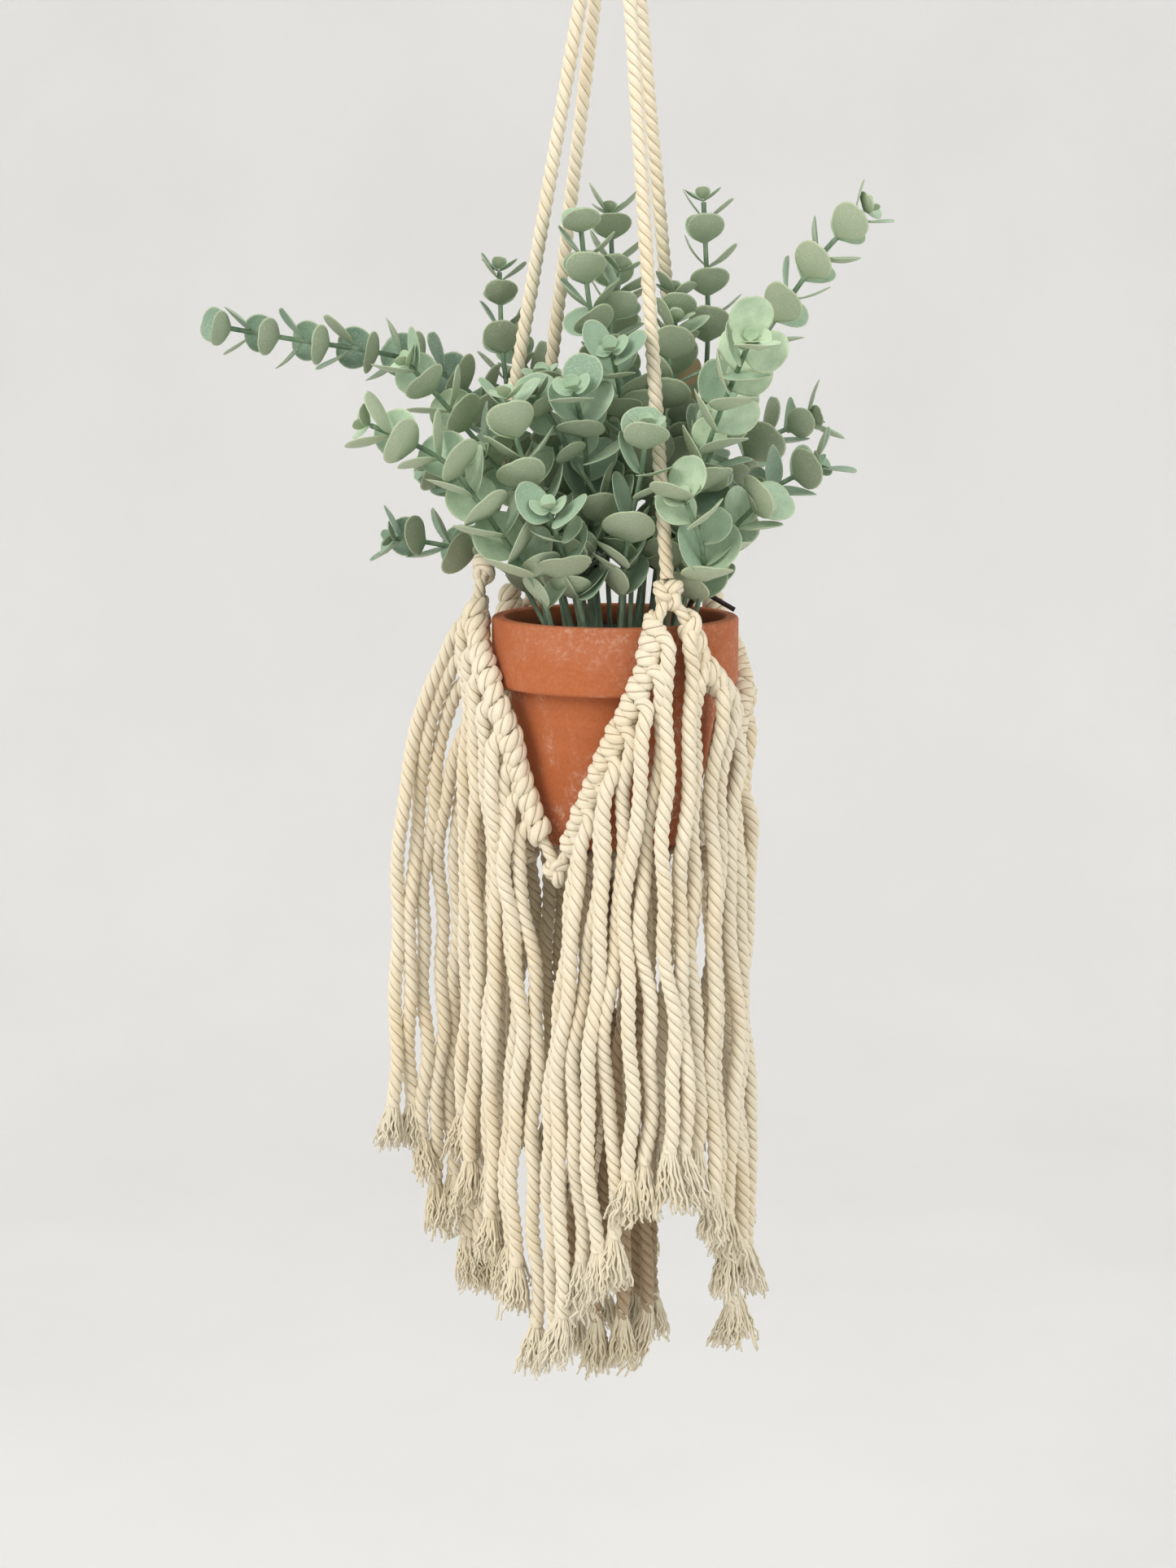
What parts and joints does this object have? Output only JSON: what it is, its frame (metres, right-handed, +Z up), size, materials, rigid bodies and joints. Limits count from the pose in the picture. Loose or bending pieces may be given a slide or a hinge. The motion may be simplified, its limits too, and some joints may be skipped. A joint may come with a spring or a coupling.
{
  "type": "hanging macrame planter",
  "caption": "Knotted cotton rope hanger with a long frayed fringe, carrying a clay pot of artificial eucalyptus from a wooden ring.",
  "frame": {"origin": "The point inside the top of the hanging ring where a hook carries the planter.", "axes": "+Z up along the planter's hanging axis, -Y towards the front, where a leg and the open front panel are, +X to the right seen from the front."},
  "size_m": [0.2986, 0.1869, 0.7568],
  "materials": {
    "cotton_rope": "natural three-strand twisted cotton, unbleached, matte",
    "ring_wood": "turned beech, lightly oiled",
    "marker_wood": "plain sanded birch stick",
    "terracotta": "unglazed fired clay with pale lime bloom",
    "foam": "dark craft foam, rough",
    "dark_twig": "dark moulded stem, matte",
    "stem_green": "soft moulded plastic over wire, matte",
    "leaf_green": "flocked matte leaf with pale veins"
  },
  "bodies": {
    "ring": {"hanging_ring": "ring_wood"},
    "crown": {"ring_hitches": "cotton_rope"},
    "hanger": {"base_knot": "cotton_rope", "cradle_ropes": "cotton_rope", "fringe_back_left": "cotton_rope", "fringe_back_right": "cotton_rope", "fringe_front_left": "cotton_rope", "fringe_front_right": "cotton_rope", "fringe_left_back": "cotton_rope", "fringe_left_front": "cotton_rope", "fringe_right_back": "cotton_rope", "fringe_right_front": "cotton_rope", "gather_wrap": "cotton_rope", "leg_back": "cotton_rope", "leg_front": "cotton_rope", "leg_knot_back": "cotton_rope", "leg_knot_front": "cotton_rope", "leg_knot_left": "cotton_rope", "leg_knot_right": "cotton_rope", "leg_left": "cotton_rope", "leg_right": "cotton_rope", "row_back_left": "cotton_rope", "row_back_right": "cotton_rope", "row_front_left": "cotton_rope", "row_front_right": "cotton_rope", "row_left_back": "cotton_rope", "row_left_front": "cotton_rope", "row_right_back": "cotton_rope", "row_right_front": "cotton_rope", "tail_ropes": "cotton_rope", "valley_knot_back": "cotton_rope", "valley_knot_back_left": "cotton_rope", "valley_knot_front_left": "cotton_rope", "valley_knot_front_right": "cotton_rope"},
    "pot": {"pot": "terracotta"},
    "plant": {"pick_back_top_leaves": "leaf_green", "pick_back_top_stems": "stem_green", "pick_centre_leaves": "leaf_green", "pick_centre_stems": "stem_green", "pick_front_leaves": "leaf_green", "pick_front_stems": "stem_green", "pick_left_far_leaves": "leaf_green", "pick_left_far_stems": "stem_green", "pick_left_front_leaves": "leaf_green", "pick_left_front_stems": "stem_green", "pick_left_low_leaves": "leaf_green", "pick_left_low_stems": "stem_green", "pick_right_front_leaves": "leaf_green", "pick_right_front_stems": "stem_green", "pick_right_long_leaves": "leaf_green", "pick_right_long_stems": "stem_green", "pick_right_low_leaves": "leaf_green", "pick_right_low_stems": "stem_green", "pick_right_tall_leaves": "leaf_green", "pick_right_tall_stems": "stem_green", "foam_plug": "foam", "bare_twig": "dark_twig"},
    "marker": {"plant_marker": "marker_wood"}
  },
  "joints": [
    {"name": "side_swing", "type": "hinge", "parent": "ring", "child": "crown", "pos_m": [0, 0, -0.019], "axis": [0, 1, 0], "range_deg": [-20, 20]},
    {"name": "front_swing", "type": "hinge", "parent": "crown", "child": "hanger", "pos_m": [0, 0, -0.042], "axis": [1, 0, 0], "range_deg": [-20, 20]},
    {"name": "pot_lift", "type": "slide", "parent": "hanger", "child": "pot", "axis": [0, 0, 1], "range_m": [0, 0.006]},
    {"name": "plant_lift", "type": "slide", "parent": "pot", "child": "plant", "axis": [0, 0, 1], "range_m": [0, 0.035]},
    {"name": "marker_pull", "type": "slide", "parent": "plant", "child": "marker", "axis": [0.1132, 0, 0.9936], "range_m": [0, 0.03]}
  ]
}
